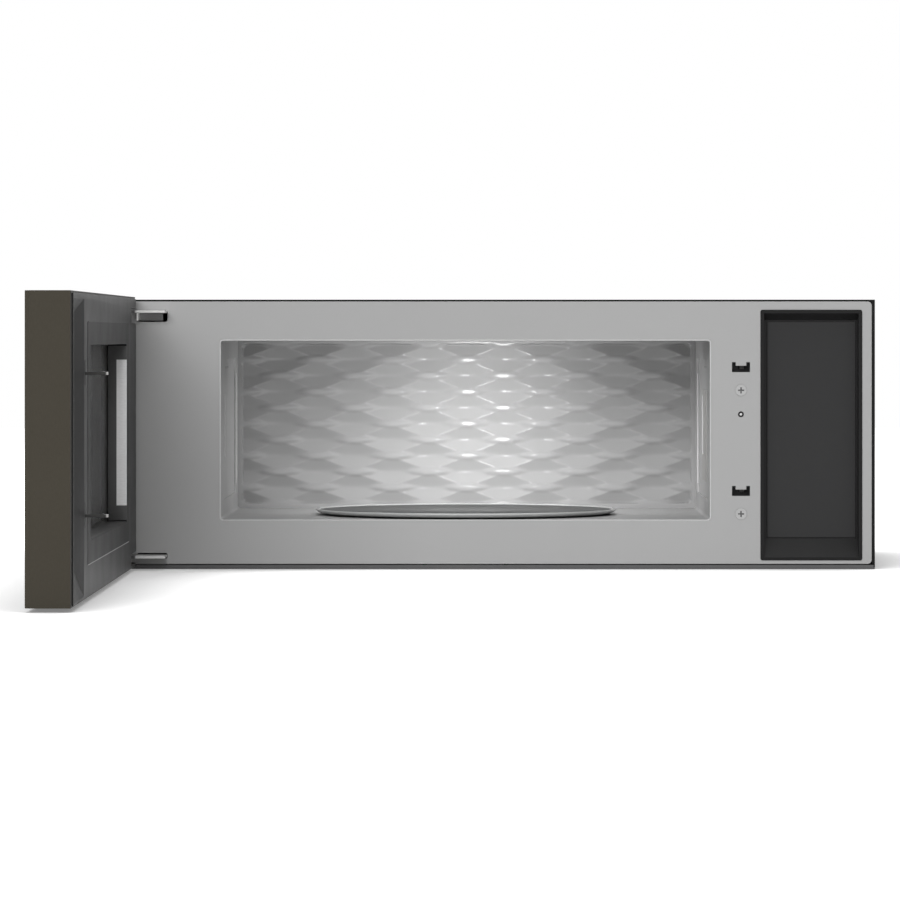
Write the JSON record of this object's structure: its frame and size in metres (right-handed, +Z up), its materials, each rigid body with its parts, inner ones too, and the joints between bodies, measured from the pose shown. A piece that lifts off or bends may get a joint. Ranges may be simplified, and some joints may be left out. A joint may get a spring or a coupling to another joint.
{
  "type": "over-the-range microwave",
  "caption": "Low over-the-range microwave with a vent hood: full-width side-hung door, quilted oven cavity, glass turntable and a recess behind the door's controls.",
  "frame": {"origin": "bottom edge of the wall face, in the middle of the width", "axes": "+X to the right seen from the room, +Y into the wall, +Z up"},
  "size_m": [0.7612, 1.1856, 0.266],
  "materials": {
    "case_black": "fine satin",
    "pan_grey": "satin",
    "galvanised_steel": "zinc coated",
    "pale_enamel": "satin grey",
    "recess_black": "fine grain",
    "bright_steel": "bright",
    "filter_mesh": "mesh",
    "clear_lens": "frosted",
    "tray_glass": "clear",
    "circuit_board": "satin",
    "mica": "matte",
    "plated_steel": "satin",
    "core_iron": "varnished",
    "dark_moulding": "matte",
    "fan_moulding": "matte",
    "cream_moulding": "matte",
    "switch_red": "gloss",
    "lamp_glass": "frosted",
    "black_rubber": "matte",
    "dark_stainless": "dark brushed",
    "smoked_glass": "gloss",
    "pressed_steel": "satin",
    "cover_grey": "fine grain",
    "screen_black": "punched",
    "pane_glass": "clear",
    "display_black": "gloss"
  },
  "bodies": {
    "cabinet": {"outer_case": "case_black", "base_pan": "pan_grey", "rear_panel": "galvanised_steel", "blower_housing": "galvanised_steel", "exhaust_collar": "galvanised_steel", "cabinet_bolt_rail": "galvanised_steel", "waveguide": "galvanised_steel", "front_plate": "pale_enamel", "oven_cavity": "pale_enamel", "cavity_back_panel": "pale_enamel", "control_recess": "recess_black", "recess_plate": "recess_black", "upper_hinge_arm": "bright_steel", "lower_hinge_arm": "bright_steel", "front_screws": "bright_steel", "front_locating_pin": "bright_steel", "left_grease_filter": "filter_mesh", "right_grease_filter": "filter_mesh", "cooktop_lens": "clear_lens", "cooktop_light_board": "circuit_board", "power_board": "circuit_board", "waveguide_cover": "mica", "magnetron": "plated_steel", "high_voltage_capacitor": "plated_steel", "turntable_motor": "plated_steel", "high_voltage_transformer": "core_iron", "cooling_fan_motor": "dark_moulding", "blower_motor": "dark_moulding", "interlock_bracket": "dark_moulding", "interlock_switches": "switch_red", "cavity_lamp": "lamp_glass", "cord_gland": "black_rubber"},
    "door": {"door_skin": "dark_stainless", "door_glass": "smoked_glass", "door_frame": "pressed_steel", "inner_cover": "cover_grey", "choke_panel": "cover_grey", "window_screen": "screen_black", "window_pane": "pane_glass", "control_board": "circuit_board", "display_module": "display_black", "hinge_pins": "bright_steel", "latch_guide": "dark_moulding", "latch_spring": "bright_steel"},
    "latch": {"latch_slider": "bright_steel"},
    "turntable": {"drive_coupler": "cream_moulding", "glass_tray": "tray_glass"},
    "roller_ring": {"roller_ring": "cream_moulding"},
    "roller_wheel_1": {"roller_wheel_1": "cream_moulding"},
    "roller_wheel_2": {"roller_wheel_2": "cream_moulding"},
    "roller_wheel_3": {"roller_wheel_3": "cream_moulding"},
    "cooling_fan": {"cooling_fan_blade": "fan_moulding"},
    "blower": {"blower_wheels": "fan_moulding"},
    "damper": {"damper_flap": "galvanised_steel"},
    "upper_plunger": {"upper_plunger": "cream_moulding"},
    "middle_plunger": {"middle_plunger": "cream_moulding"},
    "lower_plunger": {"lower_plunger": "cream_moulding"}
  },
  "joints": [
    {"name": "door_hinge", "type": "hinge", "parent": "cabinet", "child": "door", "pos_m": [-0.3675, -0.4386, 0], "axis": [0, 0, 1], "range_deg": [-15, 90]},
    {"name": "latch_slide", "type": "slide", "parent": "door", "child": "latch", "axis": [0, 0, 1], "range_m": [-0.002, 0], "stiffness_N_per_m": 600, "springref_m": 0.002, "deforming": ["latch_spring"]},
    {"name": "turntable_spin", "type": "hinge", "parent": "cabinet", "child": "turntable", "pos_m": [-0.0215, -0.232, 0.047], "axis": [0, 0, 1], "continuous": true},
    {"name": "roller_ring_spin", "type": "hinge", "parent": "cabinet", "child": "roller_ring", "pos_m": [-0.0215, -0.232, 0.0398], "axis": [0, 0, 1], "continuous": true},
    {"name": "cooling_fan_spin", "type": "hinge", "parent": "cabinet", "child": "cooling_fan", "pos_m": [0.315, -0.044, 0.182], "axis": [0, 1, 0], "continuous": true},
    {"name": "blower_spin", "type": "hinge", "parent": "cabinet", "child": "blower", "pos_m": [-0.3225, -0.112, 0.1318], "axis": [1, 0, 0], "continuous": true},
    {"name": "damper_hinge", "type": "hinge", "parent": "cabinet", "child": "damper", "pos_m": [0, -0.016, 0.2424], "axis": [-1, 0, 0], "range_deg": [0, 80]},
    {"name": "wheel_spin_1", "type": "hinge", "parent": "roller_ring", "child": "roller_wheel_1", "pos_m": [0.0703, -0.179, 0.0398], "axis": [0.866, 0.5, 0], "continuous": true},
    {"name": "wheel_spin_2", "type": "hinge", "parent": "roller_ring", "child": "roller_wheel_2", "pos_m": [-0.1133, -0.179, 0.0398], "axis": [-0.866, 0.5, 0], "continuous": true},
    {"name": "wheel_spin_3", "type": "hinge", "parent": "roller_ring", "child": "roller_wheel_3", "pos_m": [-0.0215, -0.338, 0.0398], "axis": [0, -1, 0], "continuous": true},
    {"name": "upper_plunger_slide", "type": "slide", "parent": "cabinet", "child": "upper_plunger", "axis": [0, 1, 0], "range_m": [0, 0.001], "stiffness_N_per_m": 150, "springref_m": -0.0005},
    {"name": "middle_plunger_slide", "type": "slide", "parent": "cabinet", "child": "middle_plunger", "axis": [0, 1, 0], "range_m": [0, 0.001], "stiffness_N_per_m": 150, "springref_m": -0.0005},
    {"name": "lower_plunger_slide", "type": "slide", "parent": "cabinet", "child": "lower_plunger", "axis": [0, 1, 0], "range_m": [0, 0.001], "stiffness_N_per_m": 150, "springref_m": -0.0005}
  ],
  "couplings": [
    {"joint": "roller_ring_spin", "follows": "turntable_spin", "ratio": 0.5},
    {"joint": "wheel_spin_1", "follows": "turntable_spin", "ratio": -8.4127},
    {"joint": "wheel_spin_2", "follows": "turntable_spin", "ratio": -8.4127},
    {"joint": "wheel_spin_3", "follows": "turntable_spin", "ratio": -8.4127}
  ]
}
